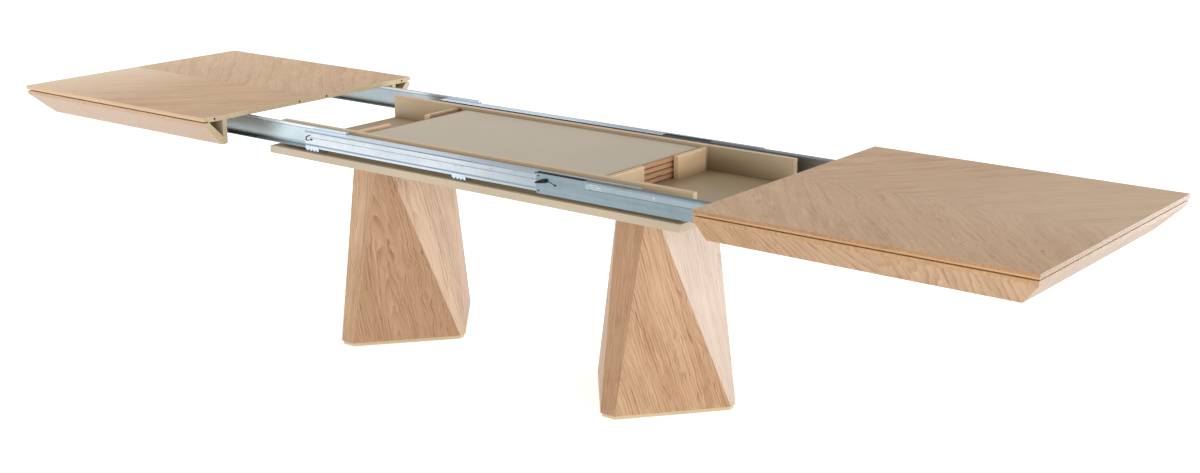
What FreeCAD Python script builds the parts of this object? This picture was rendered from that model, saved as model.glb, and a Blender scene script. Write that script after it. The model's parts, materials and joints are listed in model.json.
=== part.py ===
import FreeCAD, Part
import os
from math import sqrt, cos, sin, radians
from FreeCAD import Vector as V

# ---------------------------------------------------------------- sizes, mm
# Frame: origin on the floor under the middle of the table, +X along the
# table towards the right half, +Y towards the back, +Z up.
T = 771.0            # height of the table top
HALF_L = 1000.0      # length of each half of the top
TOP_W = 1000.0       # width of the top
TRAVEL = 1000.0      # how far each half is drawn out at rest
BOARD = 18.0         # thickness of the top boards and of the leaves

# bevelled apron under the top: section given as (distance from the
# centre line, depth below the top surface)
LIP_S, LIP_D0, LIP_D1 = 496.5, 19.0, 31.0
APR_D = 102.5        # underside of apron and liner
APR_S = 429.0        # foot of the bevel
GROOVE_S = 482.0     # bottom of the shadow groove under the board
RIM_D = 14.0         # the board's rim is thinned to this by the groove
APR_IN_S = 478.0     # inner edge of the apron's top face
LINER_S0, LINER_S1 = 402.0, 420.5   # upright liner behind the apron
LINER_R = 6.0        # its rounded inner bottom edge

# base plate and leaf box
PLATE_X, PLATE_Y = 853.0, 343.5
PLATE_D0, PLATE_T = 99.5, 25.0
WALL_Y0, WALL_Y1, WALL_D = 262.0, 282.0, 19.0
# cross walls of the box: (x0, x1, front end, back end); the stack of
# leaves lies between them, pushed a little to the right
LEFT_DIV = (-541.0, -524.0, -92.0, 90.0)
RIGHT_DIV = (515.5, 532.5, -80.0, 98.0)
DIV_D, DIV_R = 24.5, 4.0
LEAF_CX = (5.0, 8.0, 6.0, 9.0)       # middle of each leaf, lowest first

# pedestals: eight flat facets between a pointed foot and a near
# rectangular head
PED_X = 560.0
PED_Z0 = 15.0
FOOT = dict(hx=260.0, hy=300.0, tx=27.0, ty=13.0)
HEAD = dict(hx=67.0, hy=179.0, tx=54.0)
# each slanted panel is flat: its top and bottom edges run the same way
HEAD["ty"] = HEAD["hy"] - (HEAD["hx"] - HEAD["tx"]) * \
    (FOOT["hy"] - FOOT["ty"]) / (FOOT["hx"] - FOOT["tx"])
PED_WALL = 16.0
PLINTH_IN = 6.0
PAD_R, PAD_T = 15.0, 2.0

# telescopic steel slides.  The section is the same for both; the rear
# one is the front one moved by (SLIDE_DX, SLIDE_DY).
SLIDE_DX, SLIDE_DY = -12.0, 672.0
FIX_X0, FIX_X1 = -676.0, 695.0
FIX_YF, FIX_YB = -344.0, -304.0      # face and rear edge of the fixed rail
FIX_D0, FIX_D1 = 25.0, 81.0
GROOVES = ((44.3, 45.9, 0.0), (68.8, 73.0, 0.9))   # depths, sunk below the web
BEARER_Y = (-341.0, -329.0)          # strip that carries the fixed rail
BEARER_X0, BEARER_X1 = -675.0, 850.0
L_X0, L_X1 = -1880.0, -515.0         # channel that carries the left half
L_YF, L_YFB, L_YB = -312.0, -327.0, -298.0
L_D0, L_D1, L_LIP = 18.0, 89.5, 24.3
R_X0, R_XF, R_X1 = 330.0, 510.0, 1880.0   # plate that carries the right half
EMB_X0, EMB_D0, EMB_D1 = 517.5, 27.0, 44.5    # raised field on that plate
R_YF, R_YB = -352.0, -326.0
R_D0, R_D1 = 22.6, 84.5
STEEL = 2.0

DOWEL_R, DOWEL_HOLE_R = 4.0, 4.05
DOWEL_OUT, DOWEL_IN = 10.0, 20.0
DOWEL_POS = (-454.0, -66.0, 66.0, 454.0)
DOWEL_D = 9.0

LATCH_X, LATCH_D = 366.0, 42.5       # pivot of the latch lever

os.makedirs("parts", exist_ok=True)


# ---------------------------------------------------------------- helpers
def box(x0, x1, y0, y1, d0, d1):
    """Block between two depths below the top surface."""
    return Part.makeBox(abs(x1 - x0), abs(y1 - y0), abs(d1 - d0),
                        V(min(x0, x1), min(y0, y1), T - max(d0, d1)))


def boxz(x0, x1, y0, y1, z0, z1):
    return Part.makeBox(x1 - x0, y1 - y0, z1 - z0, V(x0, y0, z0))


def prism_x(section, x0, x1):
    """Section of (y, depth) points extruded along X."""
    pts = [V(x0, y, T - d) for y, d in section]
    return Part.Face(Part.makePolygon(pts + pts[:1])).extrude(V(x1 - x0, 0, 0))


def prism_y(section, y0, y1):
    """Section of (x, depth) points extruded along Y."""
    pts = [V(x, y0, T - d) for x, d in section]
    return Part.Face(Part.makePolygon(pts + pts[:1])).extrude(V(0, y1 - y0, 0))


def plan(points, d0, d1):
    """Plan outline of (x, y) points extruded between two depths."""
    pts = [V(x, y, T - d1) for x, y in points]
    return Part.Face(Part.makePolygon(pts + pts[:1])).extrude(V(0, 0, d1 - d0))


def cyl(r, h, p, axis):
    return Part.makeCylinder(r, h, V(*p), V(*axis))


def mirror_x(s):
    return s.mirror(V(0, 0, 0), V(1, 0, 0))


def mirror_y(s):
    return s.mirror(V(0, 0, 0), V(0, 1, 0))


def save(name, *solids):
    flat = []
    for s in solids:
        flat += s if isinstance(s, (list, tuple)) else [s]
    out = []
    for s in flat:
        out += s.Solids
    for s in out:
        if not s.isValid() or s.Volume <= 0:
            raise RuntimeError(name + " has a bad solid")
    shape = out[0] if len(out) == 1 else Part.makeCompound(out)
    shape.exportStep("parts/" + name + ".step")
    print(name, len(out), round(sum(s.Volume for s in out) / 1000.0, 2), "cm3")


# ---------------------------------------------------------------- pedestals
def outline(p, z, cx):
    hx, hy, tx, ty = p["hx"], p["hy"], p["tx"], p["ty"]
    q = [(-tx, -hy), (tx, -hy), (hx, -ty), (hx, ty),
         (tx, hy), (-tx, hy), (-hx, ty), (-hx, -ty)]
    return [V(cx + x, y, z) for x, y in q]


def facet_body(lo, hi):
    """Closed solid between two eight-sided rings of points."""
    faces = [Part.Face(Part.makePolygon(lo + lo[:1])),
             Part.Face(Part.makePolygon(hi + hi[:1]))]
    for i in range(8):
        j = (i + 1) % 8
        w = [lo[i], lo[j], hi[j], hi[i]]
        faces.append(Part.Face(Part.makePolygon(w + w[:1])))
    s = Part.Solid(Part.makeShell(faces))
    if s.Volume < 0:
        s.reverse()
    return s


def inset_ring(lo, hi, z, t):
    """Ring where the facets, moved inwards by t, meet the level z."""
    lines = []
    for i in range(8):
        j = (i + 1) % 8
        n = (lo[j] - lo[i]).cross(hi[i] - lo[i])
        n.normalize()
        c = V(sum(p.x for p in lo) / 8.0, 0, (lo[0].z + hi[0].z) / 2.0)
        if n.dot(c - lo[i]) < 0:
            n = n * -1.0
        k = n.dot(lo[i]) + t          # points with n.p = k lie t inside
        lines.append((n.x, n.y, k - n.z * z))
    ring = []
    for i in range(8):
        a, b = lines[i - 1], lines[i]
        det = a[0] * b[1] - a[1] * b[0]
        ring.append(V((a[2] * b[1] - a[1] * b[2]) / det,
                      (a[0] * b[2] - a[2] * b[0]) / det, z))
    return ring


def panels(lo, hi, t):
    """The eight panels of one pedestal, mitred where they meet."""
    ilo, ihi = inset_ring(lo, hi, lo[0].z, t), inset_ring(lo, hi, hi[0].z, t)
    out = []
    for i in range(8):
        j = (i + 1) % 8
        a = [lo[i], lo[j], ilo[j], ilo[i]]
        b = [hi[i], hi[j], ihi[j], ihi[i]]
        quads = [a, b, [lo[i], lo[j], hi[j], hi[i]],
                 [ilo[i], ilo[j], ihi[j], ihi[i]],
                 [lo[i], ilo[i], ihi[i], hi[i]],
                 [lo[j], ilo[j], ihi[j], hi[j]]]
        faces = [Part.Face(Part.makePolygon(q + q[:1])) for q in quads]
        s = Part.Solid(Part.makeShell(faces))
        if s.Volume < 0:
            s.reverse()
        out.append(s)
    return out


def lifted(ring, z):
    return [V(p.x, p.y, z) for p in ring]


plate_bot = T - PLATE_D0 - PLATE_T
ped_panels, ped_tops, ped_bottoms, plinths, pads = [], [], [], [], []
bolts, inserts = [], []
TOPB, BOTB = 20.0, 18.0
HAND_X, HAND_Y = 80.0, 110.0         # half sizes of the hand hole
BOLT_R, BOLT_HOLE_R, INSERT_R, INSERT_L = 4.0, 4.4, 6.0, 14.0
for sx in (-1, 1):
    cx = sx * PED_X
    z0, z1 = PED_Z0, plate_bot
    lo, hi = outline(FOOT, z0, cx), outline(HEAD, z1, cx)
    ped_panels.append(panels(lo, hi, PED_WALL))
    # boards that close the pedestal inside at head and foot; the foot
    # board has a hand hole, through which the bolts are reached
    top = facet_body(inset_ring(lo, hi, z1 - TOPB, PED_WALL),
                     inset_ring(lo, hi, z1, PED_WALL))
    bot = facet_body(inset_ring(lo, hi, z0, PED_WALL),
                     inset_ring(lo, hi, z0 + BOTB, PED_WALL))
    hand = boxz(cx - HAND_X, cx + HAND_X, -HAND_Y, HAND_Y, 0, z0 + BOTB + 1)
    bot = bot.cut(hand)
    for ax in (-26.0, 26.0):
        for ay in (-120.0, 120.0):
            x, y = cx + ax, ay
            head = cyl(6.5, 6.0, (x, y, z1 - TOPB - 6.0), (0, 0, 1))
            shank = cyl(BOLT_R, TOPB + 12.0, (x, y, z1 - TOPB), (0, 0, 1))
            sock = Part.makeBox(5, 5, 4, V(x - 2.5, y - 2.5, z1 - TOPB - 6.0))
            bolts.append(head.fuse(shank).removeSplitter().cut(sock))
            top = top.cut(cyl(BOLT_HOLE_R, TOPB + 2, (x, y, z1 - TOPB - 1), (0, 0, 1)))
            inserts.append(cyl(INSERT_R, INSERT_L, (x, y, z1), (0, 0, 1)).cut(
                cyl(BOLT_R + 0.03, INSERT_L, (x, y, z1), (0, 0, 1))))
    # plinth, a little smaller than the foot
    ring = inset_ring(lo, lifted(lo, z0 + 10), z0, PLINTH_IN)
    plinths.append(facet_body(lifted(ring, PAD_T), ring).cut(hand))
    for x, y in ((cx - 200, 0), (cx + 200, 0), (cx, -240), (cx, 240)):
        pads.append(cyl(PAD_R, PAD_T, (x, y, 0), (0, 0, 1)))
    ped_tops.append(top)
    ped_bottoms.append(bot)

# ---------------------------------------------------------------- leaf box
plate = box(-PLATE_X, PLATE_X, -PLATE_Y, PLATE_Y, PLATE_D0, PLATE_D0 + PLATE_T)
for b in inserts:
    bb = b.BoundBox
    plate = plate.cut(cyl(INSERT_R + 0.03, INSERT_L, ((bb.XMin + bb.XMax) / 2,
                      (bb.YMin + bb.YMax) / 2, plate_bot), (0, 0, 1)))
front_wall = box(-PLATE_X, PLATE_X, -WALL_Y1, -WALL_Y0, WALL_D, PLATE_D0)
back_wall = box(-PLATE_X, PLATE_X, WALL_Y0, WALL_Y1, WALL_D, PLATE_D0)
wall_screws = []
for x in (-780.0, -420.0, -140.0, 140.0, 420.0, 780.0):
    for sy in (-1, 1):
        y = sy * (WALL_Y0 + WALL_Y1) / 2
        h = Part.makeCone(4.5, 2.2, 3.5, V(x, y, plate_bot), V(0, 0, 1))
        s = cyl(2.2, 47.0, (x, y, plate_bot + 3.5), (0, 0, 1))
        scr = h.fuse(s).removeSplitter()
        wall_screws.append(scr)
        plate = plate.cut(scr)
        if sy < 0:
            front_wall = front_wall.cut(scr)
        else:
            back_wall = back_wall.cut(scr)


def round_top(x0, x1, r, d0, d1, n=6):
    """Section of (x, depth) points with both top corners rounded."""
    pts = [(x0, d1)]
    pts += [(x0 + r - r * cos(radians(90.0 * i / n)),
             d0 + r - r * sin(radians(90.0 * i / n))) for i in range(n + 1)]
    pts += [(x1 - r + r * sin(radians(90.0 * i / n)),
             d0 + r - r * cos(radians(90.0 * i / n))) for i in range(n + 1)]
    return pts + [(x1, d1)]


def dividers(x0, x1, ya, yb):
    sec = round_top(x0, x1, DIV_R, DIV_D, PLATE_D0)
    return [prism_y(sec, -WALL_Y0, ya), prism_y(sec, yb, WALL_Y0)]


# ---------------------------------------------------------------- slides
def fixed_rail():
    f, b = FIX_YF, FIX_YB
    d0, d1, t = FIX_D0, FIX_D1, STEEL
    # outer face with two raised fields and the grooves beside them, then
    # the channel behind it
    (g0, g1, _), (h0, h1, sink) = GROOVES
    sec = [(b, d0), (f, d0), (f - 0.7, d0 + 0.5), (f - 1, d0 + 1.5), (f - 1, g0),
           (f, g0 + 0.4), (f, g1 - 0.4), (f - 1, g1), (f - 1, h0), (f + sink, h0 + 1),
           (f + sink, h1), (f, h1 + 0.8), (f, d1), (b, d1), (b, d1 - t),
           (f + t, d1 - t), (f + t, d0 + t), (b, d0 + t)]
    s = prism_x(sec, FIX_X0, FIX_X1)
    # pressed dimples, two round and two long
    for x, d in ((-2.0, 52.0), (25.0, 51.0)):
        s = s.fuse(Part.makeCone(5.0, 3.2, 1.5, V(x, f - 0.5, T - d), V(0, -1, 0)))
    for x, d in ((148.0, 38.5), (237.0, 35.5)):
        s = s.fuse([Part.makeCone(3.2, 2.2, 1.4, V(x + k, f - 0.5, T - d), V(0, -1, 0))
                    for k in (-6.0, 0.0, 6.0)])
    return s.removeSplitter()


def left_slide():
    sec = [(L_YF, L_D0), (L_YB, L_D0), (L_YB, L_D1), (L_YFB, L_D1),
           (L_YFB, L_D1 - STEEL), (L_YB - STEEL, L_D1 - STEEL),
           (L_YB - STEEL, L_D0 + STEEL), (L_YF + STEEL, L_D0 + STEEL),
           (L_YF + STEEL, L_LIP), (L_YF, L_LIP)]
    s = prism_x(sec, L_X0, L_X1)
    for x, d in ((-927.0, 28.0), (-727.0, 25.0)):
        s = s.cut(cyl(2.5, 6, (x, L_YB - 4, T - d), (0, 1, 0)))
    return s


def right_slide():
    f, t = R_YF, STEEL
    emb = [(EMB_X0, EMB_D0 + 2), (EMB_X0 + 2, EMB_D0), (R_X1, EMB_D0),
           (R_X1, EMB_D1), (EMB_X0 + 2, EMB_D1), (EMB_X0, EMB_D1 - 2)]
    face = prism_y([(R_X0, R_D0), (R_X1, R_D0), (R_X1, R_D1), (R_X0 + 4, R_D1),
                    (R_X0, R_D1 - 4)], f, f + t)
    face = face.fuse(prism_y(emb, f - 1.0, f))
    flange = box(R_XF, R_X1, f, R_YB, R_D0, R_D0 + t)
    s = face.fuse(flange).removeSplitter()
    s = s.cut(cyl(2.0, 6, (LATCH_X, f - 2, T - LATCH_D), (0, 1, 0)))
    return s


def clip(x0, w):
    """Toothed clip on the lower edge of the fixed rail."""
    n = 4
    p = w / n
    pts = [(x0, 74.5), (x0 + w, 74.5)]
    for i in range(n):
        r = x0 + w - i * p
        pts += [(r, 90.5), (r - 0.62 * p, 90.5), (r - 0.62 * p, 86.5), (r - p, 86.5)]
    return prism_y(pts, FIX_YF - 1.5, FIX_YF)


def stop(x0, x1):
    """Black nylon block behind a clip, under the rail's lower flange."""
    return box(x0, x1, FIX_YF, BEARER_Y[0], FIX_D1, 89.0)


def wire(pts, r, y):
    """Bent wire through (x, depth) points at one y."""
    out = []
    for i, (x, d) in enumerate(pts):
        out.append(Part.makeSphere(r, V(x, y, T - d)))
        if i:
            a, c = V(pts[i - 1][0], y, T - pts[i - 1][1]), V(x, y, T - d)
            out.append(Part.makeCylinder(r, (c - a).Length, a, c - a))
    return out[0].fuse(out[1:]).removeSplitter()


def catch():
    """Bent spring wire with a knob, which the latch lever snaps over."""
    w = wire([(-651.0, 38.5), (-659.0, 40.0), (-666.0, 44.0), (-671.0, 50.0),
              (-671.0, 56.0), (-665.0, 57.5), (-655.0, 54.5), (-646.0, 52.5)],
             1.3, FIX_YF - 2.3)
    knob = cyl(3.0, 2.8, (-645.0, FIX_YF - 4.0, T - 52.3), (0, 1, 0))
    return w.fuse(knob).removeSplitter()


def rivet(x, d, y, r=3.2, h=1.0):
    return Part.makeCone(r, r * 0.55, h, V(x, y, T - d), V(0, -1, 0))


def lever():
    """Latch lever: a slim drop with a pivot hole in its thick end."""
    y0, y1 = R_YF - 6.4, R_YF - 1.6
    discs = [(369.0, 42.0, 6.2), (357.5, 44.0, 5.8), (332.5, 51.0, 2.6)]
    solids = []
    for i, (x, d, r) in enumerate(discs):
        solids.append(cyl(r, y1 - y0, (x, y0, T - d), (0, 1, 0)))
        if i == 0:
            continue
        X, D, R = discs[i - 1]
        dx, dz = x - X, D - d
        L = sqrt(dx * dx + dz * dz)
        ux, uz = dx / L, dz / L
        k = (R - r) / L
        c = sqrt(1 - k * k)
        q = []
        for sg in (1, -1):
            nx, nz = (k * ux - sg * c * uz), (k * uz + sg * c * ux)
            q.append((V(X + R * nx, y0, T - D + R * nz), V(x + r * nx, y0, T - d + r * nz)))
        w = [q[0][0], q[0][1], q[1][1], q[1][0]]
        solids.append(Part.Face(Part.makePolygon(w + w[:1])).extrude(V(0, y1 - y0, 0)))
    s = solids[0].fuse(solids[1:]).removeSplitter()
    return s.cut(cyl(2.05, 8, (LATCH_X, y0 - 1, T - LATCH_D), (0, 1, 0)))


def latch_pins():
    """Pivot, spring anchor, spring and the two rivets of the latch plate."""
    z = T - LATCH_D
    pin = cyl(2.0, 8.6, (LATCH_X, R_YF - 6.6, z), (0, 1, 0))
    head = cyl(3.2, 1.0, (LATCH_X, R_YF - 7.4, z), (0, 1, 0))
    anchor = cyl(2.8, 3.0, (403.0, R_YF - 3.0, T - 51.5), (0, 1, 0))
    spring = wire([(379.5, 45.0), (386.0, 45.5), (394.0, 48.0), (401.0, 51.0)], 0.7, R_YF - 1.0)
    rivets = [cyl(2.4, 1.2, (338.7, R_YF - 1.2, T - d), (0, 1, 0)) for d in (30.2, 75.8)]
    return [pin.fuse(head).removeSplitter(), anchor.fuse(spring).removeSplitter()] + rivets


def back(s):
    c = s.copy()
    c.translate(V(SLIDE_DX, SLIDE_DY, 0))
    return c


# glide pads: white nylon, above and below, on the fixed rail and on the
# channel of the left half; they meet as end stops
PAD_Y = (L_YF + STEEL + 0.5, FIX_YB)
fix_pads = [box(-672, -582, PAD_Y[0], PAD_Y[1] - 0.5, 20.5, FIX_D0),
            box(-672, -582, -324, -306, FIX_D1, L_D1 - STEEL - 0.3)]
mov_pads = [box(-581.5, -517, PAD_Y[0], L_YB - STEEL, L_D0 + STEEL, FIX_D0 - 0.4),
            box(-581.5, -517, -324, -306, FIX_D1 + 0.4, L_D1 - STEEL)]
right_pad = box(323.0, R_XF - 1, R_YF + STEEL, R_YB - 1, R_D0, FIX_D0 - 0.3)

fixed = fixed_rail()
lsl = left_slide()
rsl = right_slide()
clips = [clip(-675.0, 62.0), clip(-18.0, 58.0)]
stops = [stop(-613.0, -579.0), stop(40.0, 57.0)]
bearer = box(BEARER_X0, BEARER_X1, BEARER_Y[0], BEARER_Y[1], FIX_D1, PLATE_D0)
bearer_b = bearer.copy()
bearer_b.translate(V(0, SLIDE_DY, 0))
r_rivets = [rivet(x, 34.5, R_YF - 1.0, 3.4, 1.0) for x in (565.8, 765.9)]


# ---------------------------------------------------------------- top halves
def half_top(sx):
    """Board, three aprons and three liners of the right half, mirrored
    for the left one."""
    board = box(HALF_L, 2 * HALF_L, -TOP_W / 2, TOP_W / 2, 0, BOARD)
    for rim in (box(HALF_L - 1, 2 * HALF_L + 1, -TOP_W / 2 - 1, -GROOVE_S, RIM_D, BOARD + 1),
                box(HALF_L - 1, 2 * HALF_L + 1, GROOVE_S, TOP_W / 2 + 1, RIM_D, BOARD + 1),
                box(1.5 * HALF_L + GROOVE_S, 2 * HALF_L + 1, -TOP_W / 2 - 1, TOP_W / 2 + 1, RIM_D, BOARD + 1)):
        board = board.cut(rim)
    sec = [(GROOVE_S, BOARD), (APR_IN_S, BOARD), (LINER_S1, BOARD + APR_IN_S - LINER_S1),
           (LINER_S1, APR_D), (APR_S, APR_D), (LIP_S, LIP_D1),
           (LIP_S, LIP_D0), (GROOVE_S, LIP_D0)]
    lin = [(LINER_S0, BOARD), (LINER_S1, BOARD), (LINER_S1, APR_D)]
    lin += [(LINER_S0 + LINER_R * (1 - sin(radians(15.0 * i))),
             APR_D - LINER_R * (1 - cos(radians(15.0 * i)))) for i in range(7)]
    cx = 2 * HALF_L - TOP_W / 2
    far = plan([(cx, 0), (cx + 600, -600), (cx + 600, 600)], -10, 200)
    nose = {}
    for key, s in (("apron", sec), ("liner", lin)):
        front = prism_x([(-a, d) for a, d in s], HALF_L, cx + 520).cut(far)
        end = prism_y([(cx + a, d) for a, d in s], -520, 520).common(far)
        nose["front_" + key] = front
        nose["back_" + key] = mirror_y(front)
        nose["end_" + key] = end
    nose["top_board"] = board
    if sx < 0:
        nose = {k: mirror_x(v) for k, v in nose.items()}
    return nose


right = half_top(1)
left = half_top(-1)
right_dowels = []
for y in DOWEL_POS:
    right["top_board"] = right["top_board"].cut(
        cyl(DOWEL_R + 0.02, DOWEL_IN, (HALF_L, y, T - DOWEL_D), (1, 0, 0)))
    right_dowels.append(cyl(DOWEL_R, DOWEL_IN + DOWEL_OUT,
                            (HALF_L - DOWEL_OUT, y, T - DOWEL_D), (1, 0, 0)))
    left["top_board"] = left["top_board"].cut(
        cyl(DOWEL_HOLE_R, DOWEL_OUT + 2, (-HALF_L, y, T - DOWEL_D), (-1, 0, 0)))

# battens under the boards, to which the slides are fixed
BAT_X0, BAT_X1, BAT_D = 1030.0, 1850.0, 88.0
left_front_batten = box(-BAT_X1, -BAT_X0, L_YB, -285.0, BOARD, BAT_D)
left_back_batten = box(-BAT_X1, -BAT_X0, L_YB + SLIDE_DY, LINER_S0, BOARD, BAT_D)
right_front_batten = box(BAT_X0, BAT_X1, -LINER_S0, R_YF - 1.0, BOARD, BAT_D)
right_back_batten = box(BAT_X0, BAT_X1, 286.0, R_YF - 1.0 + SLIDE_DY, BOARD, BAT_D)


def flush_screw(x, y, d, axis, length):
    """Countersunk screw: the head's flat face lies at the given point and
    the screw points along axis."""
    p, a = V(x, y, T - d), V(*axis)
    h = Part.makeCone(3.8, 1.8, STEEL, p, a)
    s = Part.makeCylinder(1.8, length, p + a * STEEL, a)
    return h.fuse(s).removeSplitter()


left_screws, right_screws = [], []
for x in (-1800.0, -1500.0, -1200.0):
    # from inside the channel outwards, into the battens
    left_screws.append(flush_screw(x, L_YB - STEEL, 55.0, (0, 1, 0), 9.0))
    left_screws.append(flush_screw(x + SLIDE_DX, L_YB - STEEL + SLIDE_DY, 55.0, (0, 1, 0), 18.0))
for x in (1800.0, 1500.0, 1200.0):
    right_screws.append(flush_screw(x, R_YF + STEEL, 65.0, (0, -1, 0), 18.0))
    right_screws.append(flush_screw(x + SLIDE_DX, R_YF + STEEL + SLIDE_DY, 65.0, (0, -1, 0), 18.0))
lsl_f, lsl_b = lsl, back(lsl)
rsl_f, rsl_b = rsl, back(rsl)
for s in left_screws:
    lsl_f, lsl_b = lsl_f.cut(s), lsl_b.cut(s)
    left_front_batten = left_front_batten.cut(s)
    left_back_batten = left_back_batten.cut(s)
for s in right_screws:
    rsl_f, rsl_b = rsl_f.cut(s), rsl_b.cut(s)
    right_front_batten = right_front_batten.cut(s)
    right_back_batten = right_back_batten.cut(s)


# ---------------------------------------------------------------- leaves
def leaf(i):
    """One loose leaf, lying in the box with its length along X; the
    dowels are on its front edge and the matching holes on its back edge."""
    d1 = PLATE_D0 - i * BOARD
    cx = LEAF_CX[i]
    s = box(cx - 500, cx + 500, -250, 250, d1 - BOARD, d1)
    pins = []
    for x in [cx + v for v in DOWEL_POS]:
        s = s.cut(cyl(DOWEL_R + 0.02, DOWEL_IN, (x, -250, T - d1 + BOARD / 2), (0, 1, 0)))
        s = s.cut(cyl(DOWEL_HOLE_R, DOWEL_OUT + 2, (x, 250, T - d1 + BOARD / 2), (0, -1, 0)))
        pins.append(cyl(DOWEL_R, DOWEL_IN + DOWEL_OUT,
                        (x, -250 - DOWEL_OUT, T - d1 + BOARD / 2), (0, 1, 0)))
    return s, pins


# ---------------------------------------------------------------- write
save("base_plate", plate)
save("front_box_wall", front_wall)
save("back_box_wall", back_wall)
save("box_dividers", dividers(*LEFT_DIV) + dividers(*RIGHT_DIV))
save("left_pedestal_panels", ped_panels[0])
save("right_pedestal_panels", ped_panels[1])
save("pedestal_head_boards", ped_tops)
save("pedestal_foot_boards", ped_bottoms)
save("left_plinth", plinths[0])
save("right_plinth", plinths[1])
save("felt_pads", pads)
save("pedestal_bolts", bolts)
save("threaded_inserts", inserts)
save("wall_screws", wall_screws)
save("front_fixed_rail", fixed)
save("back_fixed_rail", back(fixed))
save("rail_bearers", bearer, bearer_b)
save("rail_stops", stops + [back(s) for s in stops])
save("rail_clips", clips + [back(s) for s in clips])
save("latch_catches", catch(), back(catch()))
save("fixed_glide_pads", fix_pads + [back(s) for s in fix_pads])

for side, h in (("left", left), ("right", right)):
    for k in ("top_board", "front_apron", "back_apron", "end_apron",
              "front_liner", "back_liner", "end_liner"):
        save(side + "_" + k, h[k])
save("left_front_batten", left_front_batten)
save("left_back_batten", left_back_batten)
save("left_front_slide", lsl_f)
save("left_back_slide", lsl_b)
save("left_glide_pads", mov_pads + [back(s) for s in mov_pads])
save("left_slide_screws", left_screws)
save("right_front_batten", right_front_batten)
save("right_back_batten", right_back_batten)
save("right_front_slide", rsl_f)
save("right_back_slide", rsl_b)
save("right_glide_pads", right_pad, back(right_pad))
save("right_slide_screws", right_screws)
save("right_slide_rivets", r_rivets + [back(s) for s in r_rivets])
save("alignment_dowels", right_dowels)
pins = latch_pins()
save("latch_pins", pins + [back(s) for s in pins])
save("front_latch_lever", lever())
save("back_latch_lever", back(lever()))
for i in range(4):
    s, p = leaf(i)
    save("leaf_%d" % (i + 1), s)
    save("leaf_%d_dowels" % (i + 1), p)
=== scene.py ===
import bpy, bmesh, json, math
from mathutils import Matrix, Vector

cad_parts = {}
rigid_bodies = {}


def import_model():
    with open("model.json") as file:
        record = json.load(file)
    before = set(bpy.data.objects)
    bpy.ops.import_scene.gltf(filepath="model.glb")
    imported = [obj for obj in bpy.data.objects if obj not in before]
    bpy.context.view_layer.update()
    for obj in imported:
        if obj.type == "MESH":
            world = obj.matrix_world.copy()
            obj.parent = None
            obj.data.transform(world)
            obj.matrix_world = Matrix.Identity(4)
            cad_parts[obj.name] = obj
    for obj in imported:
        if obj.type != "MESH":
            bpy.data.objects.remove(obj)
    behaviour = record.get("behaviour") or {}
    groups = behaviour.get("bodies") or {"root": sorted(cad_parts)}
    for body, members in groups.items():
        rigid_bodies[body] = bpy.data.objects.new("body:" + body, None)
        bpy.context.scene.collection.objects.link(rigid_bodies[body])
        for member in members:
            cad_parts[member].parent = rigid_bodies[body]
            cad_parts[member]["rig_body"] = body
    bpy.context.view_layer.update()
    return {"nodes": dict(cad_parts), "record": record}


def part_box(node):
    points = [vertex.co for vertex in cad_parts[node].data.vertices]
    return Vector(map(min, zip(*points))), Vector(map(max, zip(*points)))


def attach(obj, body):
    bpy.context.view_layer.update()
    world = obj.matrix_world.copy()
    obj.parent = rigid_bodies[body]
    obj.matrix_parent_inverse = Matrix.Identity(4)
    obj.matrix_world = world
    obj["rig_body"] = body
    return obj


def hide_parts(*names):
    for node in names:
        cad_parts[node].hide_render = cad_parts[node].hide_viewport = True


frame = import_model()
sc = bpy.context.scene
NODES = frame["nodes"]
SLOT = {s["node"]: s["material_slot"] for s in frame["record"]["subparts"]}


# ------------------------------------------------------------------ values in a node tree
class Val:
    """One float or vector socket in a node tree, with arithmetic."""

    def __init__(self, tree, socket):
        self.t, self.s = tree, socket

    def _m(self, op, *others, clamp=False):
        return math_node(self.t, op, self, *others, clamp=clamp)

    def __add__(self, o): return self._m("ADD", o)
    __radd__ = __add__
    def __sub__(self, o): return self._m("SUBTRACT", o)
    def __rsub__(self, o): return math_node(self.t, "SUBTRACT", o, self)
    def __mul__(self, o): return self._m("MULTIPLY", o)
    __rmul__ = __mul__
    def __truediv__(self, o): return self._m("DIVIDE", o)
    def __neg__(self): return self._m("MULTIPLY", -1.0)
    def abs(self): return self._m("ABSOLUTE")
    def sqrt(self): return self._m("SQRT")
    def sin(self): return self._m("SINE")
    def floor(self): return self._m("FLOOR")
    def fract(self): return self._m("FRACT")
    def sign(self): return self._m("SIGN")
    def gt(self, o): return self._m("GREATER_THAN", o)
    def lt(self, o): return self._m("LESS_THAN", o)
    def max(self, o): return self._m("MAXIMUM", o)
    def min(self, o): return self._m("MINIMUM", o)
    def pow(self, o): return self._m("POWER", o)
    def clamp(self): return math_node(self.t, "ADD", self, 0.0, clamp=True)

    def step(self, lo, hi, a=0.0, b=1.0):
        """Smooth step from a at lo to b at hi."""
        n = self.t.nodes.new("ShaderNodeMapRange")
        n.interpolation_type = "SMOOTHSTEP"
        put(n, 0, self), put(n, 1, lo), put(n, 2, hi), put(n, 3, a), put(n, 4, b)
        return Val(self.t, n.outputs[0])

    def line(self, lo, hi, a=0.0, b=1.0):
        n = self.t.nodes.new("ShaderNodeMapRange")
        put(n, 0, self), put(n, 1, lo), put(n, 2, hi), put(n, 3, a), put(n, 4, b)
        return Val(self.t, n.outputs[0])


def put(node, key, value):
    socket = node.inputs[key]
    if isinstance(value, Val):
        value.t.links.new(value.s, socket)
    elif isinstance(value, (tuple, list)) and len(value) == 3 and socket.type == "RGBA":
        socket.default_value = (*value, 1.0)
    else:
        socket.default_value = value


def math_node(t, op, *args, clamp=False):
    n = t.nodes.new("ShaderNodeMath")
    n.operation = op
    n.use_clamp = clamp
    for i, a in enumerate(args):
        put(n, i, a)
    return Val(t, n.outputs[0])


RAISED = 0.004       # heights in the patterns are counted from this level


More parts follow.
